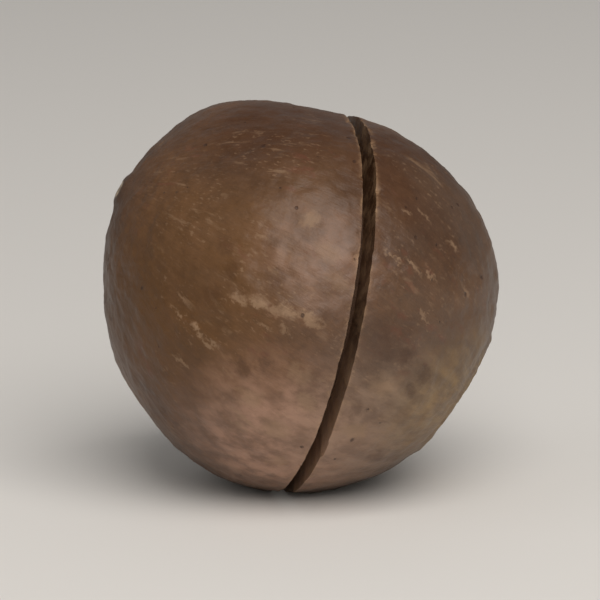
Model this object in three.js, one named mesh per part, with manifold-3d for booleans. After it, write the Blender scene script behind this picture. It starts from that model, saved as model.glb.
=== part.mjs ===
// A macadamia nut in its shell, with the slot sawn part of the way round it for cracking.
// Millimetres, +Z up. The nut lies on a small flat spot, with the origin under its middle,
// and its front, where the saw slot is open from top to bottom, faces -Y.
import * as THREE from 'three';
import { mergeVertices } from 'three/addons/utils/BufferGeometryUtils.js';
import Module from 'manifold-3d';

const wasm = await Module();
wasm.setup();

// Driving dimensions.
const NUT_LENGTH = 25.1; // from end to end of the plain oval, before the tip is drawn out
const NUT_WIDTH = 24.7;
const TIP_AZIMUTH = 179; // where the tip points: degrees round +Z from +X, then above the level
const TIP_RISE = 32;
const FLAT_SPOT_HEIGHT = 0.4; // how much of the underside is flat

const SLOT_WIDTH = 0.9;
const SLOT_DEPTH = 2.8;
const SLOT_OFFSET = 0.8; // from the nut's centre towards the hilum
const SLOT_AXIS_AZIMUTH = 11.3; // the line that the nut turned on against the saw
const SLOT_AXIS_RISE = -12.7;
const SLOT_FULL_DEPTH_ARC = 186; // degrees round the nut, centred on the front

// Broad hand-shaped forms. Each draws the skin outwards (or in, where it is negative) along
// its own direction, and fades smoothly to nothing at its reach.
const FORMS = [
  { azimuth: TIP_AZIMUTH, rise: TIP_RISE, reach: 8, height: 0.7 },
  { azimuth: TIP_AZIMUTH, rise: TIP_RISE, reach: 1.9, height: 0.25 },
  { azimuth: TIP_AZIMUTH + 180, rise: -TIP_RISE, reach: 8.5, height: -0.5 },
  { azimuth: 10, rise: 22, reach: 10, height: 0.4 },
  { azimuth: 150, rise: 74, reach: 11, height: -0.4 },
  { azimuth: 156, rise: 62, reach: 8.5, height: 1.5 },
  { azimuth: -20, rise: -62, reach: 9, height: -0.25 },
  { azimuth: 190, rise: -32, reach: 6, height: -0.25 },
  { azimuth: 75, rise: 8, reach: 12, height: -0.3 },
];

// Fine relief of the skin.
const SWELL_HEIGHT = 0.06;
const SWELL_LENGTH = 3.4;
const SWELL_WANDER = 1.7; // how far one wave is bent by the next, and over what length
const SWELL_WANDER_LENGTH = 5.7;
const SUTURE_DEPTH = 0.16;
const SUTURE_HALF_WIDTH = 0.9;
const SUTURE_BEARING = 38; // degrees round the tip's axis, which puts the suture at the back
const HILUM_RADIUS = 4.6;
const HILUM_RIM_HEIGHT = 0.1;
const HILUM_RIM_WIDTH = 0.9;
const HILUM_RIDGES = 17;
const HILUM_RIDGE_SPREAD = 1.4; // how unevenly they stand round the scar
const HILUM_RIDGE_HEIGHT = 0.06;

const SKIN_COLUMNS = 88;
const SKIN_ROWS = 52;
const SLOT_SEGMENTS = 40;

const degrees = THREE.MathUtils.degToRad;

function towards(azimuth, rise) {
  const level = Math.cos(degrees(rise));
  return new THREE.Vector3(
    level * Math.cos(degrees(azimuth)),
    level * Math.sin(degrees(azimuth)),
    Math.sin(degrees(rise)),
  );
}

const tipWay = towards(TIP_AZIMUTH, TIP_RISE);
const slotAxis = towards(SLOT_AXIS_AZIMUTH, SLOT_AXIS_RISE);

// 1 at the middle, 0 at the edge, level at both.
function fade(share) {
  const x = THREE.MathUtils.clamp(1 - share, 0, 1);
  return x * x * (3 - 2 * x);
}

// The turn that stands a +Y axis up along the tip, with the suture at its bearing.
function nutTurn() {
  const roll = new THREE.Quaternion().setFromAxisAngle(
    new THREE.Vector3(0, 1, 0),
    degrees(SUTURE_BEARING),
  );
  return new THREE.Quaternion()
    .setFromUnitVectors(new THREE.Vector3(0, 1, 0), tipWay)
    .multiply(roll);
}

// A point of the plain oval's skin, moved by the broad forms.
function formedPoint(ovalPoint) {
  const moved = ovalPoint.clone();
  for (const form of FORMS) {
    const way = towards(form.azimuth, form.rise);
    const share = ovalSurface(way).distanceTo(ovalPoint) / form.reach;
    moved.addScaledVector(way, form.height * fade(share));
  }
  return moved;
}

// Where a ray from the nut's centre meets the plain oval.
function ovalSurface(direction) {
  const alongAxis = direction.dot(tipWay) / (NUT_LENGTH / 2);
  const across = Math.sqrt(1 - direction.dot(tipWay) ** 2) / (NUT_WIDTH / 2);
  return direction.clone().divideScalar(Math.hypot(alongAxis, across));
}

function bentWave(along, across) {
  const bend = SWELL_WANDER * Math.sin((2 * Math.PI * across) / SWELL_WANDER_LENGTH);
  return Math.sin((2 * Math.PI * along) / SWELL_LENGTH + bend);
}

// Low crossed waves, so that the skin is pebbled and not drawn with a compass.
function swell(p) {
  const waves = bentWave(p.x, p.y) + bentWave(p.y, p.z) + bentWave(p.z, p.x);
  return (SWELL_HEIGHT * waves) / 3;
}

// own is the skin point in the nut's own frame, with the tip along +Y and the suture along +X.
function suture(own) {
  if (own.x < 0) return 0;
  const inward = fade(Math.abs(own.z) / SUTURE_HALF_WIDTH);
  const ends = fade(Math.abs(own.y) / (NUT_LENGTH / 2));
  return -SUTURE_DEPTH * inward * Math.sqrt(ends);
}

function hilum(own) {
  if (own.y > 0) return 0;
  const fromMiddle = Math.hypot(own.x, own.z);
  const rim = fade(Math.abs(fromMiddle - HILUM_RADIUS) / HILUM_RIM_WIDTH);
  const spread = fade(Math.abs(fromMiddle - HILUM_RADIUS / 2) / (HILUM_RADIUS / 2));
  const bearing = Math.atan2(own.z, own.x);
  const uneven = HILUM_RIDGE_SPREAD * Math.sin(3 * bearing);
  const ridges = Math.sin(HILUM_RIDGES * bearing + uneven);
  return HILUM_RIM_HEIGHT * rim + HILUM_RIDGE_HEIGHT * ridges * spread;
}

function skinGeometry() {
  const skin = new THREE.SphereGeometry(1, SKIN_COLUMNS, SKIN_ROWS);
  const turn = nutTurn();
  const points = skin.getAttribute('position');
  for (let i = 0; i < points.count; i++) {
    const ownWay = new THREE.Vector3().fromBufferAttribute(points, i).normalize();
    const way = ownWay.clone().applyQuaternion(turn);
    const oval = ovalSurface(way);
    const own = ownWay.clone().multiplyScalar(oval.length());
    const point = formedPoint(oval);
    point.addScaledVector(way, swell(oval) + suture(own) + hilum(own));
    points.setXYZ(i, point.x, point.y, point.z);
  }
  return skin;
}

// What the saw takes out: a ring sector whose floor is an arc round the nut's centre, and
// which leaves the nut at both ends along straight lines, as a large blade does.
function slotGeometry() {
  const floorRadius = NUT_WIDTH / 2 - SLOT_DEPTH;
  const outside = NUT_WIDTH;
  const half = degrees(SLOT_FULL_DEPTH_ARC / 2);
  const leaving = Math.acos(floorRadius / outside);
  const outline = new THREE.Shape();
  outline.absarc(0, 0, floorRadius, -half, half, false);
  outline.absarc(0, 0, outside, half + leaving, -half - leaving, true);
  outline.closePath();
  const slot = new THREE.ExtrudeGeometry(outline, {
    depth: SLOT_WIDTH,
    bevelEnabled: false,
    curveSegments: SLOT_SEGMENTS,
  });
  slot.translate(0, 0, SLOT_OFFSET - SLOT_WIDTH / 2);
  return slot.applyMatrix4(slotFrame());
}

// The saw's frame: Z is the line that the nut turned on, and X is the middle of the slot.
function slotFrame() {
  const front = new THREE.Vector3(0, -1, 0);
  const middle = front.clone().addScaledVector(slotAxis, -front.dot(slotAxis)).normalize();
  const side = slotAxis.clone().cross(middle);
  return new THREE.Matrix4().makeBasis(middle, side, slotAxis);
}

function toSolid(geometry) {
  const bare = geometry.clone();
  bare.deleteAttribute('normal');
  bare.deleteAttribute('uv');
  const merged = mergeVertices(bare, 1e-4);
  return new wasm.Manifold(
    new wasm.Mesh({
      numProp: 3,
      vertProperties: new Float32Array(merged.getAttribute('position').array),
      triVerts: new Uint32Array(merged.index.array),
    }),
  );
}

function toGeometry(solid) {
  const mesh = solid.getMesh();
  const geometry = new THREE.BufferGeometry();
  geometry.setAttribute('position', new THREE.BufferAttribute(mesh.vertProperties, 3));
  geometry.setIndex(new THREE.BufferAttribute(mesh.triVerts, 1));
  return geometry;
}

// Everything below the flat spot, which is cut away.
function groundGeometry(lowest) {
  const size = 2 * NUT_LENGTH;
  const ground = new THREE.BoxGeometry(size, size, size);
  return ground.translate(0, 0, lowest + FLAT_SPOT_HEIGHT - size / 2);
}

function nutGeometry() {
  const skin = skinGeometry();
  skin.computeBoundingBox();
  const nut = toSolid(skin)
    .subtract(toSolid(slotGeometry()))
    .subtract(toSolid(groundGeometry(skin.boundingBox.min.z)));
  const geometry = toGeometry(nut);
  geometry.computeBoundingBox();
  const { min, max } = geometry.boundingBox;
  geometry.translate(-(min.x + max.x) / 2, -(min.y + max.y) / 2, -min.z);
  geometry.computeVertexNormals();
  return geometry;
}

const shell = new THREE.MeshStandardMaterial({
  color: 0x6b4a34,
  roughness: 0.5,
  metalness: 0,
});

const nut = new THREE.Mesh(nutGeometry(), shell);
nut.name = 'macadamia_nut';

const part = new THREE.Group();
part.add(nut);

export default part;
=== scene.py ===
import math
import bpy
import numpy as np
from mathutils import Matrix, Vector, noise


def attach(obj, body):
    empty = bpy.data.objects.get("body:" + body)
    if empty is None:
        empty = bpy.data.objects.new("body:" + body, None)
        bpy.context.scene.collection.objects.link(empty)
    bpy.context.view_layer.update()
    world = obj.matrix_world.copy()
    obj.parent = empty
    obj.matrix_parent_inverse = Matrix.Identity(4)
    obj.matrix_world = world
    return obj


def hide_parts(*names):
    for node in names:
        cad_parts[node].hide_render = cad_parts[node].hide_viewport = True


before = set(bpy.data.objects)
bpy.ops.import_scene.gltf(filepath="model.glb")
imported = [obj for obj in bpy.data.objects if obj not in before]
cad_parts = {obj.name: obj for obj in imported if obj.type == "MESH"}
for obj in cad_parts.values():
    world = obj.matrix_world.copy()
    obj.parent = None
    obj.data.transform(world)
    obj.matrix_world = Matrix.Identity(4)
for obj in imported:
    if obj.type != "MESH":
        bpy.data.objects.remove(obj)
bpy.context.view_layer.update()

mm = 0.001

# The nut as the CAD has it. Angles are degrees round +Z from +X, then above the level.
nut = {
    "centre": (-0.024, 0.115, 11.963),  # the nut's own centre in the row frame, mm
    "length": 25.1,
    "width": 24.7,
    "tipWay": (179, 32),
    "baseSegments": 110,
    "baseRings": 50,
    "subdivisions": 2,
    # direction, reach and height in mm of each broad form
    "forms": [
        ((179, 32), 8.0, 0.70),
        ((179, 32), 1.9, 0.25),
        ((359, -32), 8.5, -0.50),
        ((10, 22), 10.0, 0.40),
        ((150, 74), 11.0, -0.40),
        ((156, 62), 8.5, 1.50),
        ((-20, -62), 9.0, -0.25),
        ((190, -32), 6.0, -0.25),
        ((75, 8), 12.0, -0.30),
    ],
    # relief all over the skin: size and height in mm, and octaves
    "relief": {
        "swell": (3.6, 0.24, 1),
        "pebbles": (1.6, 0.19, 2),
        "dimples": (0.85, 0.10, 1),
        "grain": (0.45, 0.040, 1),
    },
    "smoothAngle": 42,
}

sawSlot = {
    "axisWay": (11.3, -12.7),
    "offset": 0.8,
    "width": 0.9,
    "depth": 2.8,
    "fullArc": 186,
    "runOut": 80,  # most degrees past the arc that the straight ends go
    "shoulder": 0.30,  # depth of the first, chipped part of the walls
    "leastDepth": 0.06,
    "slideBand": (-14, 20),  # between these, in degrees, the skin's rings slide to the walls
    "rimReach": 0.085, "rimWaver": 0.030, "rimWaverSize": 0.5, "rimSeed": 11,
    "chipReach": 0.42, "chipDepth": 0.16, "chipSize": 0.55, "chipSeed": 17,
    "chipContrast": 2.2, "chipScarcity": 0.55, "chipWear": 1.2,
    "scuffReach": 0.26, "scuffStrength": 0.6,
    "faceMargin": 0.02, "wallMargin": 0.08,
    "bevel": 0.035,
    "mergeWithin": 0.004,
}

flatSpot = {"pointsBelow": 0.01, "mergeWithin": 0.05}

tipPore = {"radius": 0.75, "depth": 0.16, "lipRadius": 1.5, "lipHeight": 0.06}

hilumScar = {
    "radius": 4.6, "wander": 0.10, "wanderSize": 2.6, "seed": 3,
    "rimWidth": 0.55, "rimHeight": 0.10,
    "streaks": 46, "streakSway": 5, "streakDepth": 0.05,
    "streakMiddle": 0.55, "streakReach": 0.5,  # both as shares of the radius
}

suture = {
    "bearing": 38, "halfWidth": 0.42, "depth": 0.13,
    "waver": 0.25, "waverSize": 3.0, "seed": 5,
    "fadeOut": 3,
}

seedSteps = (7.31, 3.77, 5.13)  # how far apart the noise of two seeds lies


def towards(way):
    azimuth, rise = map(math.radians, way)
    level = math.cos(rise)
    return np.array((level * math.cos(azimuth), level * math.sin(azimuth), math.sin(rise)))


nutCentre = np.array(nut["centre"]) * mm
tipAxis = towards(nut["tipWay"])
slotAxis = towards(sawSlot["axisWay"])
slotFront = np.array((0.0, -1.0, 0.0))
slotFront -= slotAxis * slotFront.dot(slotAxis)
slotFront /= np.linalg.norm(slotFront)
slotSide = np.cross(slotAxis, slotFront)
halfSlot = sawSlot["width"] / 2
slotWalls = (sawSlot["offset"] - halfSlot, sawSlot["offset"] + halfSlot)

# the nut's own frame: the suture along sutureWay, which is about +Y, seen from the tip
yUp = Vector((0, 1, 0))
roll = Matrix.Rotation(math.radians(suture["bearing"]), 3, "Y")
turnToTip = yUp.rotation_difference(Vector(tipAxis)).to_matrix() @ roll
sutureWay = np.array(turnToTip @ Vector((1, 0, 0)))
sutureSide = np.cross(tipAxis, sutureWay)
ownFrame = (sutureWay, sutureSide, tipAxis)


def fade(share):  # 1 at the middle, 0 at the edge, level at both
    x = np.clip(1 - share, 0, 1)
    return x * x * (3 - 2 * x)


def readValues(items, name, kind=np.int32, each=1):
    values = np.zeros(len(items) * each, kind)
    items.foreach_get(name, values)
    return values


def readPoints(thing):
    return readValues(thing.data.vertices, "co", np.float32, 3).reshape(-1, 3).astype(float)


def writePoints(thing, points):
    thing.data.vertices.foreach_set("co", points.astype(np.float32).ravel())
    thing.data.update()


def selectOnly(thing, vertices=None, edges=None, faces=None):
    # in object mode: marks just these vertices, edges or faces of thing's mesh
    mesh = thing.data
    for items, marks in ((mesh.vertices, vertices), (mesh.edges, edges), (mesh.polygons, faces)):
        chosen = np.zeros(len(items), bool) if marks is None else np.asarray(marks, bool)
        items.foreach_set("select", chosen)


def editMode(thing, kind):
    bpy.ops.object.select_all(action="DESELECT")
    thing.select_set(True)
    bpy.context.view_layer.objects.active = thing
    bpy.ops.object.mode_set(mode="EDIT")
    bpy.ops.mesh.select_mode(type=kind)


def objectMode():
    bpy.ops.object.mode_set(mode="OBJECT")


def applyModifiers(thing):
    bpy.context.view_layer.objects.active = thing
    for modifier in list(thing.modifiers):
        bpy.ops.object.modifier_apply(modifier=modifier.name)


def mergeClose(thing, near, within):
    # doubled points among the marked ones become one; within is in mm
    selectOnly(thing, vertices=near)
    editMode(thing, "VERT")
    bpy.ops.mesh.remove_doubles(threshold=within * mm)
    objectMode()


def pull(thing, way, reach, height):
    # takes hold of the skin's point in a direction, and draws it and what is near it outwards
    points = readPoints(thing)
    direction = towards(way)
    alongTip = direction.dot(tipAxis)
    endways = alongTip / (nut["length"] / 2)
    sideways = math.sqrt(1 - alongTip ** 2) / (nut["width"] / 2)
    oval = 1 / math.hypot(endways, sideways)
    held = np.zeros(len(points), bool)
    held[np.argmin(np.linalg.norm(points - nutCentre - direction * oval * mm, axis=1))] = True
    selectOnly(thing, vertices=held)
    editMode(thing, "VERT")
    bpy.ops.transform.translate(
        value=tuple(direction * height * mm), use_proportional_edit=True,
        proportional_edit_falloff="SMOOTH", proportional_size=reach * mm)
    objectMode()


def slotCoordinates(points):
    # bearing round the slot's axis (0 at the front), distance from it and place along it, in mm
    away = (points - nutCentre) / mm
    front, side, along = away @ slotFront, away @ slotSide, away @ slotAxis
    return np.arctan2(side, front), np.hypot(front, side), along


def roundSlot(bearing):
    # the direction of each bearing
    return np.outer(np.cos(bearing), slotFront) + np.outer(np.sin(bearing), slotSide)


def fromSlotMiddle(along):
    return np.abs(along - sawSlot["offset"])


def floorDistance(bearing):
    # how far the slot's floor is from its axis: an arc, then the straight lines that a blade
    # leaves on
    reach = nut["width"] / 2 - sawSlot["depth"]
    past = np.abs(bearing) - math.radians(sawSlot["fullArc"] / 2)
    return reach / np.cos(np.clip(past, 0, math.radians(sawSlot["runOut"])))


def bladeReaches(bearing, outward):
    return floorDistance(bearing) < outward - sawSlot["leastDepth"]


def ownCoordinates(points):
    # mm in the nut's own frame: suture side, across it, and along the tip's axis
    away = (points - nutCentre) / mm
    return away @ sutureWay, away @ sutureSide, away @ tipAxis


def noiseAt(points, size, seed, octaves=1):
    shift = Vector([seed * step for step in seedSteps])
    if octaves == 1:
        return np.array([noise.noise(Vector(p) / size + shift) for p in points])
    return np.array([noise.fractal(Vector(p) / size + shift, 1.0, 2.0, octaves) for p in points])


def moveSkin(thing, name, weights, height):
    # a Displace modifier along the normals, weighted point by point in steps of a hundredth
    group = thing.vertex_groups.new(name=name)
    steps = np.round(weights, 2)
    for step in np.unique(steps[steps > 0]):
        group.add(np.nonzero(steps == step)[0].tolist(), float(step), "REPLACE")
    modifier = thing.modifiers.new(name, "DISPLACE")
    modifier.vertex_group = name
    modifier.mid_level = 0
    modifier.strength = height * mm
    applyModifiers(thing)
    thing.vertex_groups.remove(thing.vertex_groups[name])


def reliefModifier(thing, name, size, height, octaves):
    texture = bpy.data.textures.new(name, "CLOUDS")
    texture.noise_scale = size * mm
    texture.noise_depth = octaves
    modifier = thing.modifiers.new(name, "DISPLACE")
    modifier.texture = texture
    modifier.texture_coords = "LOCAL"
    modifier.mid_level = 0.5
    modifier.strength = height * mm


# Materials. Distances in them are millimetres, from the nut's own centre.
shellColours = {
    "deep": (0.030, 0.012, 0.005, 1),
    "brown": (0.060, 0.026, 0.010, 1),
    "warm": (0.098, 0.043, 0.015, 1),
    "light": (0.165, 0.082, 0.034, 1),
    "ochre": (0.124, 0.060, 0.018, 1),
    # dark reddish brown for the darker spots, also laid over the top as painted shade
    "mahoganyAndTopShade": (0.040, 0.014, 0.005, 1),
    # pale pink: a faint mottle all round, and painted highlight and painted light from below
    "rosyMottleAndPaintedLight": (0.400, 0.232, 0.158, 1),
    "ashen": (0.092, 0.060, 0.040, 1),
    "dusty": (0.240, 0.165, 0.112, 1),
    "fleck": (0.290, 0.185, 0.110, 1),
    "speck": (0.035, 0.014, 0.008, 1),
    "red": (0.130, 0.043, 0.023, 1),
    "hilum": (0.350, 0.252, 0.118, 1),
    "hilumDark": (0.150, 0.080, 0.040, 1),
    "pore": (0.560, 0.440, 0.310, 1),
    "sawnPale": (0.380, 0.235, 0.130, 1),
    "straw": (0.270, 0.168, 0.066, 1),
}

# the plain brown, from deep to light, and what each pattern adds to its tone
brownRamp = [(0.26, "deep"), (0.42, "brown"), (0.58, "warm"), (0.80, "light")]
toneShares = {"base": -0.12, "drift": 0.60, "mottle": 0.30, "fibre": 0.16, "hairs": 0.16}

# every layer over it: which colour, and how strongly it covers
layers = {
    "ochre": ("ochre", 0.45),
    # the dark reddish layer over the top is painted shade
    "mahoganyAndTopShade": ("mahoganyAndTopShade", 0.76),
    "ashen": ("ashen", 0.50),
    # the pale pink layer is mostly painted highlight and painted light from below
    "rosyMottleAndPaintedLight": ("rosyMottleAndPaintedLight", 1.0),
    "dusty": ("dusty", 1.0),
    "straw": ("straw", 1.0),
    "pale": ("fleck", 1.0),
    "pits": ("speck", 0.70),
    "reds": ("red", 0.36),
    "dark": ("mahoganyAndTopShade", 1.0),
    "halo": ("hilum", 0.50),
    "poreRing": ("deep", 0.50),
    "pore": ("pore", 0.85),
    "suture": ("deep", 0.45),
    "worn": ("sawnPale", 0.60),
}

# where the layers lie that don't go all round: direction, reach in mm and share
patches = {
    "ochre": [((236, 18), 11.0, 1.0), ((266, 50), 8.0, 0.6)],
    # the dark reddish patches paint shade over the top and the upper right
    "mahoganyAndTopShade": [((258, 78), 8.5, 1.0), ((324, 48), 8.5, 0.8)],
    # the pale pink patches are painted light: a pinkish highlight where the key lamp shines, and
    # light from below on the low front
    "rosyMottleAndPaintedLight": [((276, 24), 5.5, 0.30), ((264, -38), 9.0, 1.0)],
    "dusty": [((298, -32), 8.0, 1.0)],
    "straw": [((323, -25), 5.8, 1.0), ((333, -15), 4.0, 0.6)],
    "reds": [((308, 8), 7.0, 1.0)],
    "dark": [((297, -1), 2.5, 1.0)],
}

# blotched layers: the share that is all over the nut, then how strongly they cover between
# the blotches, and how much more in them
blotchShares = {
    "rosyMottleAndPaintedLight": (0.06, 0.34, 0.52),
    "dusty": (0.0, 0.20, 0.40),
    "straw": (0.0, 0.24, 0.36),
    "dark": (0.0, 0.22, 0.40),
}

# noise patterns: scale per mm, stretch along the meridians, and limits where the pattern goes
# from 0 to 1
patterns = {
    "drift": {"scale": 0.15, "detail": 2},
    "ashen": {"scale": 0.22, "detail": 3, "stretch": 0.6},
    "blotches": {"scale": 0.78, "detail": 4, "roughness": 0.56, "stretch": 0.75,
                 "limits": (0.34, 0.68)},
    "gathering": {"scale": 0.24, "detail": 2, "limits": (0.42, 0.62)},
    "streaks": {"scale": 1.25, "detail": 3, "roughness": 0.6, "distortion": 0.5, "stretch": 0.34,
                "limits": (0.58, 0.72)},
    "flecks": {"scale": 4.2, "detail": 2, "roughness": 0.55, "stretch": 0.55,
               "limits": (0.59, 0.70)},
    "redRegions": {"scale": 0.16, "detail": 1, "limits": (0.52, 0.64)},
    "reds": {"scale": 1.05, "detail": 3, "roughness": 0.6, "stretch": 0.7, "limits": (0.56, 0.70)},
    "scarEdge": {"scale": 0.55, "detail": 5, "roughness": 0.65},
    "scarFibres": {"scale": 1.5, "detail": 5, "roughness": 0.7, "stretch": 0.26},
    "scarBlots": {"scale": 1.1, "detail": 5, "roughness": 0.65},
    "wear": {"scale": 0.9, "detail": 5, "roughness": 0.75, "limits": (0.42, 0.62)},
    "dimples": {"scale": 0.95, "detail": 3},
    "scratches": {"scale": 2.2, "detail": 4, "roughness": 0.7},
}

# woody grain: size in mm, contrast and stretch along the meridians
grains = {
    "mottle": (1.3, 1.6, 1.0),
    "fibre": (0.42, 1.5, 0.22),
    "hairs": (0.17, 2.0, 0.12),
    "sawn": (0.35, 1.8, 1.0),
}

# what frays the edges of marks: noise scale per mm and shift in mm
frays = {"patches": (1.4, 1.8), "marks": (1.6, 1.6), "pits": (3.2, 0.34), "scarFibres": (0.5, 3.0)}

streakStrength, fleckStrength, fleckSpread = 0.36, 0.26, 0.16
ashenLook = {"perMm": -0.05, "limits": (0.40, 0.90)}
pitLook = {"scale": 0.95, "radius": 0.14, "share": 0.30}
poreLook = {"ring": (0.7, 1.9), "edge": (0.55, 0.85), "waver": 0.3}
sutureLine = (0.05, 0.30)

scarLook = {
    "wobble": 3.6,
    "edge": (-0.6, 0.5), "haloEdge": (-0.5, 3.6),  # from the scar's radius
    "fibresFrom": (0.6, 2.6), "fibreShare": 0.55,
    "tones": (0.38, 0.60), "haloTones": (0.50, 0.68),
    "strength": 0.80,
}

shellGloss = {
    "roughness": {"base": 0.29, "mottle": 0.30, "pale": 0.25, "scar": 0.28, "worn": 0.25},
    "ior": 1.45,
    "specular": 0.44, "dulled": 0.32, "ochreDullness": 0.55,
    "coat": 0.05, "coatRoughness": 0.30,
}

shellBumps = {
    "heights": {"base": 0.0, "mottle": 0.9, "dimples": 0.6, "fibre": 0.45, "hairs": 0.12,
                "pits": -0.55, "scar": -0.8},
    "distance": 0.09,
}

# pale marks on the skin: direction, half width and half length along the meridian in mm, and
# strength; three broad ones above the middle stroke are painted highlight
paleMarksAndPaintedHighlight = [
    # the long stroke in the middle and two short ones below it
    ((252, 12), 0.34, 0.80, 0.48),
    ((258, 11), 0.42, 0.90, 0.62),
    ((263, 9), 0.36, 0.80, 0.52),
    ((267, 8.5), 0.42, 0.85, 0.62),
    ((272, 7), 0.42, 0.90, 0.58),
    ((275, 6), 0.34, 0.70, 0.44),
    ((260, 4), 0.26, 0.60, 0.40),
    ((266, 3), 0.28, 0.60, 0.42),
    # above it; the broad marks at 274, 279 and 282 degrees are painted highlight, a pale column
    # where the key lamp shines
    ((274, 36), 0.75, 0.70, 0.44),
    ((258, 30), 0.30, 0.80, 0.32),
    ((262, 20), 0.32, 0.70, 0.28),
    ((279, 26), 0.80, 1.20, 0.26),
    ((282, 17), 0.70, 1.20, 0.24),
    # on the left
    ((234, 10), 0.20, 0.90, 0.40),
    ((233, 6), 0.22, 0.80, 0.58),
    ((239, 2), 0.30, 0.90, 0.76),
    ((243, -2), 0.24, 0.80, 0.58),
    ((233, -9), 0.24, 0.90, 0.46),
    # low in the middle
    ((270, -10), 0.80, 1.10, 0.34),
    ((255, -18), 0.75, 0.90, 0.44),
    ((262, -29), 0.90, 1.20, 0.50),
    ((272, -19), 0.70, 0.90, 0.38),
    ((262, -43), 0.70, 0.90, 0.40),
    # beyond the slot
    ((296, -15), 1.10, 1.20, 0.44),
    ((289, -30), 0.90, 1.20, 0.50),
    ((301, 23), 0.22, 0.90, 0.50),
    ((307, 20), 0.24, 0.90, 0.48),
    ((313, 16), 0.24, 0.70, 0.50),
    ((312, 36), 0.20, 0.55, 0.42),
    ((319, 34), 0.20, 0.80, 0.36),
    ((327, 23), 0.28, 0.60, 0.52),
    ((329, 9), 0.28, 0.90, 0.42),
    ((308, 5), 0.22, 0.70, 0.40),
]

# darker spots on it: direction, radius in mm and strength
darkMarks = [
    ((263, 18), 1.0, 0.30),
    ((261, 29), 0.8, 0.28),
    ((246, 27), 0.9, 0.25),
    ((249, 20), 0.8, 0.22),
    ((244, 12), 1.0, 0.28),
    ((253, -8), 0.9, 0.42),
    ((260, -7), 0.8, 0.38),
    ((278, -18), 0.8, 0.30),
    ((288, -22), 0.8, 0.40),
    ((302, -42), 1.0, 0.32),
    ((302, -6), 1.1, 0.60),
    ((310, -13), 0.9, 0.50),
    ((306, -17), 0.8, 0.46),
]

sawnWall = {
    "dark": (0.045, 0.021, 0.010, 1),
    "middle": (0.120, 0.060, 0.030, 1),
    "pale": (0.250, 0.145, 0.078, 1),
    "paleDepth": (1.2, 0.2),  # mm under the skin where the pale scratches start and are full
    "scratchStretch": (0.5, 0.5, 5.0), "scratchLimits": (0.42, 0.66), "scratchHeight": 1.2,
    "roughness": 0.85,
    "bumpDistance": 0.05,
}


def newLook(name):
    look = bpy.data.materials.new(name)
    look.use_nodes = True
    return look, look.node_tree, look.node_tree.nodes["Principled BSDF"]


def addNode(tree, kind, **settings):
    made = tree.nodes.new(kind)
    for key, value in settings.items():
        setattr(made, key, value)
    return made


def put(tree, socket, value):
    # links a socket, or sets a plain value
    if isinstance(value, bpy.types.NodeSocket):
        tree.links.new(value, socket)
    elif value is not None:
        socket.default_value = value


def maths(tree, operation, *values, clamp=False):
    made = addNode(tree, "ShaderNodeMath", operation=operation, use_clamp=clamp)
    for socket, value in zip(made.inputs, values):
        put(tree, socket, value)
    return made.outputs[0]


def times(tree, first, second):
    return maths(tree, "MULTIPLY", first, second)


def plus(tree, first, second, clamp=False):
    return maths(tree, "ADD", first, second, clamp=clamp)


def minus(tree, first, second):
    return maths(tree, "SUBTRACT", first, second)


def inverted(tree, value):
    return maths(tree, "SUBTRACT", 1.0, value)


def larger(tree, first, second, clamp=False):
    return maths(tree, "MAXIMUM", first, second, clamp=clamp)


def weighted(tree, shares, clamp=False, **values):
    # the base, and each value times its share
    total = shares["base"]
    for name, value in values.items():
        total = plus(tree, total, times(tree, value, shares[name]), clamp=clamp)
    return total


def vectorMaths(tree, operation, *values, output=0):
    made = addNode(tree, "ShaderNodeVectorMath", operation=operation)
    for socket, value in zip(made.inputs, values):
        put(tree, socket, value)
    return made.outputs[output]


def stretched(tree, vector, scale):
    return vectorMaths(tree, "MULTIPLY", vector, scale)


def between(tree, value, low, high):
    # 0 at low, 1 at high
    made = addNode(tree, "ShaderNodeMapRange", interpolation_type="SMOOTHSTEP")
    put(tree, made.inputs["Value"], value)
    put(tree, made.inputs["From Min"], low)
    put(tree, made.inputs["From Max"], high)
    return made.outputs["Result"]


def fading(tree, value, low, high):
    # 1 at low, 0 at high
    return inverted(tree, between(tree, value, low, high))


def noiseOf(tree, vector, scale, detail=2.0, roughness=0.5, distortion=0.0, output="Fac"):
    made = addNode(tree, "ShaderNodeTexNoise", noise_dimensions="3D")
    put(tree, made.inputs["Vector"], vector)
    put(tree, made.inputs["Scale"], scale)
    put(tree, made.inputs["Detail"], detail)
    put(tree, made.inputs["Roughness"], roughness)
    put(tree, made.inputs["Distortion"], distortion)
    return made.outputs[output]


def patternOf(tree, vector, name):
    settings = dict(patterns[name])
    stretch, limits = settings.pop("stretch", 1.0), settings.pop("limits", None)
    made = noiseOf(tree, stretched(tree, vector, (1.0, 1.0, stretch)), **settings)
    return between(tree, made, *limits) if limits else made


def blendColours(tree, factor, first, second):
    made = addNode(tree, "ShaderNodeMix", data_type="RGBA", blend_type="MIX")
    put(tree, made.inputs[0], factor)
    put(tree, made.inputs[6], first)
    put(tree, made.inputs[7], second)
    return made.outputs[2]


def layOn(tree, colour, name, cover):
    overName, strength = layers[name]
    return blendColours(tree, times(tree, cover, strength), colour, shellColours[overName])


def spots(tree, vector, scale, radius, share):
    # round spots in a share of the cells of a Voronoi pattern, from 0.4 to 1.4 times the
    # radius: 1 inside, 0 outside
    made = addNode(tree, "ShaderNodeTexVoronoi", feature="F1")
    put(tree, made.inputs["Vector"], vector)
    put(tree, made.inputs["Scale"], scale)
    chosen = addNode(tree, "ShaderNodeSeparateColor")
    tree.links.new(made.outputs["Color"], chosen.inputs[0])
    isChosen = maths(tree, "LESS_THAN", chosen.outputs[0], share)
    size = times(tree, radius * scale, plus(tree, 0.4, chosen.outputs[1]))
    fromMiddle = maths(tree, "DIVIDE", made.outputs["Distance"], size)
    return times(tree, fading(tree, fromMiddle, 0.55, 1.0), isChosen)


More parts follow.
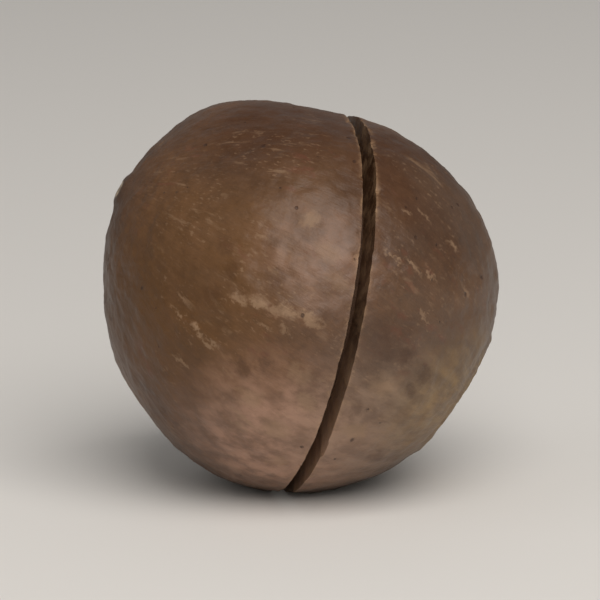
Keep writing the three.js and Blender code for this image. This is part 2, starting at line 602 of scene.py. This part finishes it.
def millimetres(tree, frameRows):
    # Object coordinates in mm, turned into a frame whose rows are three directions
    turn = Matrix([list(row) for row in frameRows])
    place = addNode(tree, "ShaderNodeTexCoord").outputs["Object"]
    mapping = addNode(tree, "ShaderNodeMapping", vector_type="POINT")
    tree.links.new(place, mapping.inputs["Vector"])
    mapping.inputs["Rotation"].default_value = turn.to_euler()
    mapping.inputs["Scale"].default_value = (1 / mm,) * 3
    mapping.inputs["Location"].default_value = -(turn @ Vector(nutCentre / mm))
    return mapping.outputs["Vector"]


def lookAlong(tree, place):
    # place, and the same laid out along the nut's meridians, in mm as at its middle
    parts = addNode(tree, "ShaderNodeSeparateXYZ")
    tree.links.new(place, parts.inputs[0])
    x, y, z = parts.outputs
    flat = addNode(tree, "ShaderNodeCombineXYZ")
    tree.links.new(x, flat.inputs[0])
    tree.links.new(y, flat.inputs[1])
    fromAxis = vectorMaths(tree, "LENGTH", flat.outputs[0], output=1)
    ring = vectorMaths(tree, "NORMALIZE", flat.outputs[0])
    upright = addNode(tree, "ShaderNodeCombineXYZ")
    tree.links.new(maths(tree, "ARCTAN2", fromAxis, z), upright.inputs[2])
    meridian = vectorMaths(tree, "ADD", ring, upright.outputs[0])
    meridian = vectorMaths(tree, "SCALE", meridian)
    meridian.node.inputs["Scale"].default_value = nut["width"] / 2
    return x, y, z, fromAxis, meridian


def grainGroup():
    # fine woody grain for the skin and for the sawn walls
    group = bpy.data.node_groups.new("woody grain", "ShaderNodeTree")
    group.interface.new_socket(name="Vector", in_out="INPUT", socket_type="NodeSocketVector")
    for name in ("Size", "Contrast"):
        group.interface.new_socket(name=name, in_out="INPUT", socket_type="NodeSocketFloat")
    for name in ("Shade", "Height"):
        group.interface.new_socket(name=name, in_out="OUTPUT", socket_type="NodeSocketFloat")
    inside, outside = addNode(group, "NodeGroupInput"), addNode(group, "NodeGroupOutput")
    scale = maths(group, "DIVIDE", 1.0, inside.outputs["Size"])
    fineScale = times(group, scale, 3.7)
    coarse = noiseOf(group, inside.outputs["Vector"], scale, detail=4, roughness=0.62)
    fine = noiseOf(group, inside.outputs["Vector"], fineScale, detail=2)
    mixed = plus(group, times(group, coarse, 0.65), times(group, fine, 0.35))
    shade = times(group, minus(group, mixed, 0.5), inside.outputs["Contrast"])
    group.links.new(plus(group, shade, 0.5, clamp=True), outside.inputs["Shade"])
    group.links.new(mixed, outside.inputs["Height"])
    return group


woodyGrain = grainGroup()


def grainOf(tree, vector, name):
    size, contrast, stretch = grains[name]
    made = addNode(tree, "ShaderNodeGroup", node_tree=woodyGrain)
    put(tree, made.inputs["Vector"], stretched(tree, vector, (1.0, 1.0, stretch)))
    put(tree, made.inputs["Size"], size)
    put(tree, made.inputs["Contrast"], contrast)
    return made.outputs["Shade"], made.outputs["Height"]


def zone(tree, place, way, radius):
    # 1 near the skin's point in a direction, fading to 0 at radius
    centre = np.array(ownFrame) @ (towards(way) * nut["width"] / 2)
    away = vectorMaths(tree, "DISTANCE", place, tuple(centre), output=1)
    return fading(tree, away, radius * 0.25, radius)


def patchOf(tree, place, name):
    # 1 where a layer lies, 0 away from it
    cover = 0.0
    for way, reach, share in patches[name]:
        cover = larger(tree, cover, times(tree, zone(tree, place, way, reach), share))
    return cover


def blotchedPatch(tree, place, name, blotches):
    allOver, least, more = blotchShares[name]
    cover = plus(tree, patchOf(tree, place, name), allOver)
    return times(tree, cover, plus(tree, least, times(tree, blotches, more)))


def frayed(tree, vector, place, name):
    # vector with a small shift in every direction, so that what is laid on it has ragged edges
    scale, shift = frays[name]
    shake = noiseOf(tree, place, scale, detail=4.0, roughness=0.65, output="Color")
    shake = vectorMaths(tree, "SUBTRACT", shake, (0.5, 0.5, 0.5))
    return vectorMaths(tree, "ADD", vector, stretched(tree, shake, (shift, shift, shift)))


def paleMark(tree, meridian, way, halfWidth, halfLength):
    # one ragged mark that lies along a meridian
    own = np.array(ownFrame) @ towards(way)
    ring = np.hypot(own[0], own[1])
    middle = np.array((own[0] / ring, own[1] / ring, math.atan2(ring, own[2]))) * nut["width"] / 2
    away = vectorMaths(tree, "SUBTRACT", meridian, tuple(middle))
    away = stretched(tree, away, (1 / halfWidth, 1 / halfWidth, 1 / halfLength))
    return fading(tree, vectorMaths(tree, "LENGTH", away, output=1), 0.35, 1.15)


def bumpOn(tree, surface, height, distance):
    bump = addNode(tree, "ShaderNodeBump")
    bump.inputs["Strength"].default_value = 1.0
    bump.inputs["Distance"].default_value = distance * mm
    tree.links.new(height, bump.inputs["Height"])
    tree.links.new(bump.outputs["Normal"], surface.inputs["Normal"])


def makeShellLook():
    look, tree, surface = newLook("macadamia shell")
    place = millimetres(tree, ownFrame)
    x, y, z, fromAxis, meridian = lookAlong(tree, place)
    frayedPlace = frayed(tree, place, place, "patches")

    # brown that drifts from deep to warm, with mottling and fibres along the meridians
    drift = patternOf(tree, place, "drift")
    mottle, mottleHeight = grainOf(tree, place, "mottle")
    fibre, fibreHeight = grainOf(tree, meridian, "fibre")
    hairs, hairHeight = grainOf(tree, meridian, "hairs")
    ramp = addNode(tree, "ShaderNodeValToRGB")
    tone = weighted(tree, toneShares, drift=drift, mottle=mottle, fibre=fibre, hairs=hairs)
    tree.links.new(tone, ramp.inputs["Fac"])
    stops = ramp.color_ramp.elements
    for stop, (position, name) in zip(stops, (brownRamp[0], brownRamp[-1])):
        stop.position, stop.color = position, shellColours[name]
    for position, name in brownRamp[1:-1]:
        stops.new(position).color = shellColours[name]
    colour = ramp.outputs["Color"]

    # ochre on the left, a dark reddish brown over the top that is mostly painted shade where the
    # top lies in shadow and partly the shell's reddish tone, and ashen towards the hilum
    ochre, mahoganyAndTopShade = patchOf(tree, place, "ochre"), patchOf(tree, place, "mahoganyAndTopShade")
    colour = layOn(tree, colour, "ochre", ochre)
    colour = layOn(tree, colour, "mahoganyAndTopShade", mahoganyAndTopShade)
    ashen = plus(tree, times(tree, z, ashenLook["perMm"]), patternOf(tree, place, "ashen"))
    colour = layOn(tree, colour, "ashen", between(tree, ashen, *ashenLook["limits"]))

    # pink blotches: a faint pink mottle all round, a painted pinkish highlight where the key lamp
    # shines and painted light from below on the low front; dusty and straw coloured blotches low on
    # the right
    blotches = patternOf(tree, meridian, "blotches")
    for name, where in (("rosyMottleAndPaintedLight", place), ("dusty", place), ("straw", frayedPlace)):
        colour = layOn(tree, colour, name, blotchedPatch(tree, where, name, blotches))

    # pale flecks and streaks, gathered in some regions, and the pale marks, three of which are
    # painted highlight
    gathering = patternOf(tree, place, "gathering")
    streaks = times(tree, patternOf(tree, meridian, "streaks"), gathering)
    spread = plus(tree, fleckSpread, gathering)
    flecks = times(tree, patternOf(tree, meridian, "flecks"), spread)
    streaks, flecks = times(tree, streaks, streakStrength), times(tree, flecks, fleckStrength)
    pale = larger(tree, streaks, flecks, clamp=True)
    frayedMeridian = frayed(tree, meridian, place, "marks")
    for way, halfWidth, halfLength, strength in paleMarksAndPaintedHighlight:
        mark = paleMark(tree, frayedMeridian, way, halfWidth, halfLength)
        pale = larger(tree, pale, times(tree, mark, strength))
    colour = layOn(tree, colour, "pale", pale)

    # dark pits, a few reddish specks and the darker spots
    pits = spots(tree, frayed(tree, place, place, "pits"), **pitLook)
    colour = layOn(tree, colour, "pits", pits)
    redRegions = larger(tree, patternOf(tree, place, "redRegions"), patchOf(tree, place, "reds"))
    reds = times(tree, patternOf(tree, meridian, "reds"), redRegions)
    colour = layOn(tree, colour, "reds", reds)
    dark = blotchedPatch(tree, frayedPlace, "dark", blotches)
    for way, radius, strength in darkMarks:
        dark = larger(tree, dark, times(tree, zone(tree, frayedPlace, way, radius), strength))
    colour = layOn(tree, colour, "dark", dark)

    # the scar where the nut was held, opposite the tip: pale and blotched, with fibres that
    # run out from it
    below = maths(tree, "LESS_THAN", z, 0.0)
    wobble = minus(tree, patternOf(tree, place, "scarEdge"), 0.5)
    ragged = plus(tree, fromAxis, times(tree, wobble, scarLook["wobble"]))
    edge = [hilumScar["radius"] + step for step in scarLook["edge"]]
    scar = times(tree, fading(tree, ragged, *edge), below)
    rays = frayed(tree, meridian, place, "scarFibres")
    scarFibres = patternOf(tree, rays, "scarFibres")
    scarBlots = patternOf(tree, place, "scarBlots")
    fibreShare = between(tree, fromAxis, *scarLook["fibresFrom"])
    fibreShare = times(tree, fibreShare, scarLook["fibreShare"])
    fibrePart = times(tree, scarFibres, fibreShare)
    scarTone = plus(tree, fibrePart, times(tree, scarBlots, inverted(tree, fibreShare)))
    scarTone = between(tree, scarTone, *scarLook["tones"])
    scarColour = blendColours(
        tree, scarTone, shellColours["hilumDark"], shellColours["hilum"])
    colour = blendColours(tree, times(tree, scar, scarLook["strength"]), colour, scarColour)
    haloEdge = [hilumScar["radius"] + step for step in scarLook["haloEdge"]]
    halo = times(tree, fading(tree, ragged, *haloEdge), below)
    halo = times(tree, halo, between(tree, scarFibres, *scarLook["haloTones"]))
    colour = layOn(tree, colour, "halo", halo)

    # the pore at the tip, pale in a darker ring
    above = maths(tree, "GREATER_THAN", z, 0.0)
    ring = times(tree, fading(tree, fromAxis, *poreLook["ring"]), above)
    colour = layOn(tree, colour, "poreRing", ring)
    fromPore = plus(tree, fromAxis, times(tree, mottle, poreLook["waver"]))
    pore = times(tree, fading(tree, fromPore, *poreLook["edge"]), above)
    colour = layOn(tree, colour, "pore", pore)

    # the suture: a thin dark line down the back
    fromLine = maths(tree, "ABSOLUTE", plus(tree, y, minus(tree, drift, 0.5)))
    line = fading(tree, fromLine, *sutureLine)
    line = times(tree, line, maths(tree, "GREATER_THAN", x, 0.0))
    colour = layOn(tree, colour, "suture", line)

    # scuffed and chipped edge beside the saw slot
    wear = addNode(tree, "ShaderNodeAttribute", attribute_name="rimWear", attribute_type="GEOMETRY")
    worn = times(tree, wear.outputs["Fac"], patternOf(tree, place, "wear"))
    colour = layOn(tree, colour, "worn", worn)
    tree.links.new(colour, surface.inputs["Base Color"])

    roughness = weighted(
        tree, shellGloss["roughness"], clamp=True,
        mottle=mottleHeight, pale=pale, scar=scar, worn=worn)
    tree.links.new(roughness, surface.inputs["Roughness"])
    surface.inputs["IOR"].default_value = shellGloss["ior"]
    dull = larger(tree, mahoganyAndTopShade, times(tree, ochre, shellGloss["ochreDullness"]))
    shine = minus(tree, shellGloss["specular"], times(tree, dull, shellGloss["dulled"]))
    tree.links.new(shine, surface.inputs["Specular IOR Level"])
    surface.inputs["Coat Weight"].default_value = shellGloss["coat"]
    surface.inputs["Coat Roughness"].default_value = shellGloss["coatRoughness"]

    height = weighted(
        tree, shellBumps["heights"],
        mottle=mottleHeight, dimples=patternOf(tree, place, "dimples"), fibre=fibreHeight,
        hairs=hairHeight, pits=pits, scar=times(tree, scar, scarFibres))
    bumpOn(tree, surface, height, shellBumps["distance"])
    return look


def makeSawnLook():
    look, tree, surface = newLook("sawn shell")
    place = millimetres(tree, (slotFront, slotSide, slotAxis))
    grain, grainHeight = grainOf(tree, place, "sawn")
    colour = blendColours(tree, grain, sawnWall["dark"], sawnWall["middle"])

    # the blade's scratches run along the slot, and are pale near the skin
    scratches = patternOf(tree, stretched(tree, place, sawnWall["scratchStretch"]), "scratches")
    outward = vectorMaths(tree, "LENGTH", stretched(tree, place, (1.0, 1.0, 0.0)), output=1)
    outer = between(tree, outward, *(nut["width"] / 2 - depth for depth in sawnWall["paleDepth"]))
    pale = times(tree, outer, between(tree, scratches, *sawnWall["scratchLimits"]))
    colour = blendColours(tree, pale, colour, sawnWall["pale"])
    tree.links.new(colour, surface.inputs["Base Color"])
    surface.inputs["Roughness"].default_value = sawnWall["roughness"]
    height = plus(tree, grainHeight, times(tree, scratches, sawnWall["scratchHeight"]))
    bumpOn(tree, surface, height, sawnWall["bumpDistance"])
    return look


shellLook = makeShellLook()
sawnLook = makeSawnLook()
print("materials made")


def makeSkin():
    # a ball of rings round the slot's axis
    radius = nut["width"] / 2
    bpy.ops.object.select_all(action="DESELECT")
    bpy.ops.mesh.primitive_uv_sphere_add(
        segments=nut["baseSegments"], ring_count=nut["baseRings"], radius=radius * mm)
    skin = bpy.context.object
    skin.name = skin.data.name = "nut_shell"
    subdivide = skin.modifiers.new("subdivide", "SUBSURF")
    subdivide.subdivision_type = "SIMPLE"
    subdivide.levels = subdivide.render_levels = nut["subdivisions"]
    rounder = skin.modifiers.new("rounder", "CAST")
    rounder.factor = 1
    rounder.use_radius_as_size = False
    rounder.size = radius * mm
    applyModifiers(skin)
    skin.rotation_euler = Matrix((slotFront, slotSide, slotAxis)).transposed().to_euler()
    skin.location = nutCentre
    bpy.ops.object.transform_apply(location=True, rotation=True, scale=True)

    # the two rings nearest the slot's walls are moved onto them
    bearing, outward, along = slotCoordinates(readPoints(skin))
    lift = np.degrees(np.arctan2(along, outward))
    low, high = (math.degrees(math.asin(wall / radius)) for wall in slotWalls)
    ring = 180 / nut["baseRings"] / 2 ** nut["subdivisions"]
    lowRing, highRing = round(low / ring) * ring, round(high / ring) * ring
    start, end = sawSlot["slideBand"]
    lift = np.interp(
        lift, (-90, start, lowRing, highRing, end, 90), (-90, start, low, high, end, 90))
    lift = np.radians(lift)[:, None]
    upright = np.cos(lift) * roundSlot(bearing) + np.sin(lift) * slotAxis
    writePoints(skin, nutCentre + radius * mm * upright)
    skin.data.materials.append(shellLook)
    skin.data.materials.append(sawnLook)
    return skin


def shapeSkin(skin):
    points = readPoints(skin) - nutCentre
    longer = nut["length"] / nut["width"] - 1
    writePoints(skin, nutCentre + points + np.outer(points @ tipAxis * longer, tipAxis))
    for way, reach, height in nut["forms"]:
        pull(skin, way, reach, height)
    print("shell drawn to its broad form")


def reliefOnSkin(skin):
    for name, (size, height, octaves) in nut["relief"].items():
        reliefModifier(skin, name, size, height, octaves)
    applyModifiers(skin)

    points = readPoints(skin)
    across, beside, along = ownCoordinates(points)
    fromTip = np.hypot(across, beside)
    turn = np.arctan2(beside, across)

    nearTip = np.where(along > 0, 1.0, 0.0)
    lip = np.abs(fromTip - tipPore["radius"]) / (tipPore["lipRadius"] - tipPore["radius"])
    moveSkin(skin, "tipLip", nearTip * fade(lip), tipPore["lipHeight"])
    moveSkin(skin, "tipPore", nearTip * fade(fromTip / tipPore["radius"]), -tipPore["depth"])

    nearHilum = np.where(along < 0, 1.0, 0.0)
    wander = noiseAt(points / mm, hilumScar["wanderSize"], hilumScar["seed"])
    scarRadius = hilumScar["radius"] * (1 + hilumScar["wander"] * wander)
    rim = fade(np.abs(fromTip - scarRadius) / hilumScar["rimWidth"])
    moveSkin(skin, "hilumRim", nearHilum * rim, hilumScar["rimHeight"])
    sway = hilumScar["streakSway"] * wander
    fibres = np.sin(hilumScar["streaks"] * turn + sway) * 0.5 + 0.5
    fromStreaks = np.abs(fromTip - scarRadius * hilumScar["streakMiddle"])
    spread = fade(fromStreaks / (scarRadius * hilumScar["streakReach"]))
    moveSkin(skin, "hilumStreaks", nearHilum * fibres * spread, -hilumScar["streakDepth"])

    waver = suture["waver"] * noiseAt(points / mm, suture["waverSize"], suture["seed"])
    furrow = fade(np.abs(beside + waver) / suture["halfWidth"]) * np.where(across > 0, 1.0, 0.0)
    ends = np.clip((nut["length"] / 2 - np.abs(along)) / suture["fadeOut"], 0, 1)
    moveSkin(skin, "suture", furrow * ends, -suture["depth"])
    print("relief raised on the shell")


def chipRim(skin):
    points = readPoints(skin)
    bearing, outward, along = slotCoordinates(points)

    # the rim's rings go back onto the blade's two sides, with the waver that it leaves
    low, high = slotWalls
    isLow = np.abs(along - low) < sawSlot["rimReach"]
    rim = isLow | (np.abs(along - high) < sawSlot["rimReach"])
    waver = noiseAt(points[rim] / mm, sawSlot["rimWaverSize"], sawSlot["rimSeed"], octaves=3)
    target = np.where(isLow, low, high)[rim] + sawSlot["rimWaver"] * waver
    moved = points.copy()
    moved[rim] += np.outer((target - along[rim]) * mm, slotAxis)

    # chips along it
    fromRim = np.maximum(fromSlotMiddle(along) - halfSlot, 0)
    near = fromRim < sawSlot["chipReach"]
    chipNoise = noiseAt(points[near] / mm, sawSlot["chipSize"], sawSlot["chipSeed"])
    chance = np.zeros(len(points))
    chance[near] = np.clip(chipNoise * sawSlot["chipContrast"] - sawSlot["chipScarcity"], 0, 1)
    reached = bladeReaches(bearing, outward)
    chip = chance * fade(fromRim / sawSlot["chipReach"]) * reached
    inward = -(moved - nutCentre)
    inward /= np.linalg.norm(inward, axis=1)[:, None]
    moved += inward * (chip * sawSlot["chipDepth"] * mm)[:, None]
    writePoints(skin, moved)

    # how scuffed the skin is, for its colour
    scuff = fade(fromRim / sawSlot["scuffReach"]) * reached * sawSlot["scuffStrength"]
    worn = np.clip(scuff + sawSlot["chipWear"] * chip, 0, 1).astype(np.float32)
    skin.data.attributes.new("rimWear", "FLOAT", "POINT").data.foreach_set("value", worn)


def chooseSawnFaces(skin):
    # the faces between the two rims, as far round as the blade goes in
    centres = readValues(skin.data.polygons, "center", np.float32, 3)
    bearing, outward, along = slotCoordinates(centres.reshape(-1, 3).astype(float))
    inside = fromSlotMiddle(along) < halfSlot - sawSlot["faceMargin"]
    selectOnly(skin, faces=inside & bladeReaches(bearing, outward))
    editMode(skin, "FACE")
    skin.active_material_index = 1
    bpy.ops.object.material_slot_assign()
    objectMode()


def sinkSawnFaces(skin):
    for stage in ("shoulder", "floor"):
        editMode(skin, "FACE")
        bpy.ops.mesh.extrude_region_move()
        objectMode()
        points = readPoints(skin)
        marks = readValues(skin.data.vertices, "select", bool)
        bearing, outward, along = slotCoordinates(points[marks])
        floor = floorDistance(bearing)
        if stage == "shoulder":
            floor = np.maximum(floor, outward - sawSlot["shoulder"])
        wall = sawSlot["offset"] + np.sign(along - sawSlot["offset"]) * halfSlot
        atWall = fromSlotMiddle(along) > halfSlot - sawSlot["wallMargin"]
        place = np.outer(np.where(atWall, wall, along), slotAxis)
        points[marks] = nutCentre + (roundSlot(bearing) * floor[:, None] + place) * mm
        writePoints(skin, points)


def mergeAtSlot(skin):
    along = slotCoordinates(readPoints(skin))[2]
    mergeClose(skin, fromSlotMiddle(along) < sawSlot["width"], sawSlot["mergeWithin"])


def bevelRim(skin):
    # the edges where the skin meets the sawn walls are broken a little
    mesh = skin.data
    looks = readValues(mesh.polygons, "material_index")
    loopLooks = np.repeat(looks, readValues(mesh.polygons, "loop_total"))
    loopEdges = readValues(mesh.loops, "edge_index")
    skinSides, sawnSides = (
        np.bincount(loopEdges[loopLooks == look], minlength=len(mesh.edges)) for look in (0, 1))
    rim = (skinSides == 1) & (sawnSides == 1)
    print("rim edges", int(rim.sum()), "sawn faces", int(looks.sum()))
    selectOnly(skin, edges=rim)
    editMode(skin, "EDGE")
    bpy.ops.mesh.bevel(
        offset=sawSlot["bevel"] * mm, segments=2, profile=0.5, affect="EDGES", clamp_overlap=True)
    objectMode()


def cutSlot(skin):
    chipRim(skin)
    chooseSawnFaces(skin)
    sinkSawnFaces(skin)
    mergeAtSlot(skin)
    bevelRim(skin)
    mergeAtSlot(skin)
    print("slot sawn")


def flattenUnderside(skin):
    # everything below the flat spot is cut off, and the cut is closed
    editMode(skin, "FACE")
    bpy.ops.mesh.select_all(action="SELECT")
    bpy.ops.mesh.bisect(
        plane_co=(0, 0, 0), plane_no=(0, 0, 1), use_fill=True, clear_inner=True, threshold=1e-7)
    objectMode()
    onFlat = readPoints(skin)[:, 2] < flatSpot["pointsBelow"] * mm
    mergeClose(skin, onFlat, flatSpot["mergeWithin"])
    print("flat spot cut")


def smoothSkin(skin):
    editMode(skin, "FACE")
    bpy.ops.mesh.select_all(action="SELECT")
    bpy.ops.mesh.normals_make_consistent(inside=False)
    objectMode()
    bpy.ops.object.select_all(action="DESELECT")
    skin.select_set(True)
    bpy.ops.object.shade_smooth_by_angle(angle=math.radians(nut["smoothAngle"]))


skin = makeSkin()
shapeSkin(skin)
reliefOnSkin(skin)
cutSlot(skin)
flattenUnderside(skin)
smoothSkin(skin)

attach(skin, "root")
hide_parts("macadamia_nut")


# floor, light and camera
studio = {
    "floorSize": 40, "floorColour": (0.70, 0.685, 0.66, 1), "floorRoughness": 0.8,
    "roomColour": (0.95, 0.93, 0.90, 1), "roomStrength": 0.21,
    # each lamp: place in mm from the nut's centre, size in mm, watts and colour
    "lamps": {
        "key": ((106, -267, 384), 460, 2.3, (1, 0.96, 0.92)),
        "front": ((80, -520, 230), 320, 0.58, (1, 0.96, 0.92)),
        "fill": ((-480, -160, 400), 420, 0.27, (1, 0.98, 0.96)),
        "back": ((-60, 560, 420), 560, 0.26, (1, 0.98, 0.96)),
    },
}

view = {"elevation": 12, "lens": 300, "distance": 320, "aimHeight": 12.0, "clip": (0.01, 20)}

bpy.ops.object.select_all(action="DESELECT")
bpy.ops.mesh.primitive_plane_add(size=studio["floorSize"], location=(0, 0, 0))
floor = bpy.context.object
floor.name = "floor"
floorLook, _, floorSurface = newLook("pale floor")
floorSurface.inputs["Base Color"].default_value = studio["floorColour"]
floorSurface.inputs["Roughness"].default_value = studio["floorRoughness"]
floor.data.materials.append(floorLook)

for name, (place, size, watts, colour) in studio["lamps"].items():
    lamp = bpy.data.lights.new(name, "AREA")
    lamp.size = size * mm
    lamp.energy = watts
    lamp.color = colour
    lampObject = bpy.data.objects.new(name, lamp)
    bpy.context.scene.collection.objects.link(lampObject)
    lampObject.location = Vector(nutCentre) + Vector(place) * mm
    toNut = Vector(nutCentre) - lampObject.location
    lampObject.rotation_euler = toNut.to_track_quat("-Z", "Y").to_euler()

world = bpy.data.worlds.new("studio")
world.use_nodes = True
room = world.node_tree.nodes["Background"]
room.inputs["Color"].default_value = studio["roomColour"]
room.inputs["Strength"].default_value = studio["roomStrength"]
bpy.context.scene.world = world
bpy.context.scene.view_settings.view_transform = "Standard"

camera = bpy.data.objects.new("camera", bpy.data.cameras.new("camera"))
bpy.context.scene.collection.objects.link(camera)
rise = math.radians(view["elevation"])
back = Vector((0, -math.cos(rise), math.sin(rise)))
aim = Vector((0, 0, view["aimHeight"])) * mm
camera.data.lens = view["lens"]
camera.location = aim + back * view["distance"] * mm
camera.rotation_euler = (-back).to_track_quat("-Z", "Y").to_euler()
camera.data.clip_start, camera.data.clip_end = view["clip"]
bpy.context.scene.camera = camera
print("studio set up")

print("triangles", sum(len(p.vertices) - 2 for p in skin.data.polygons))
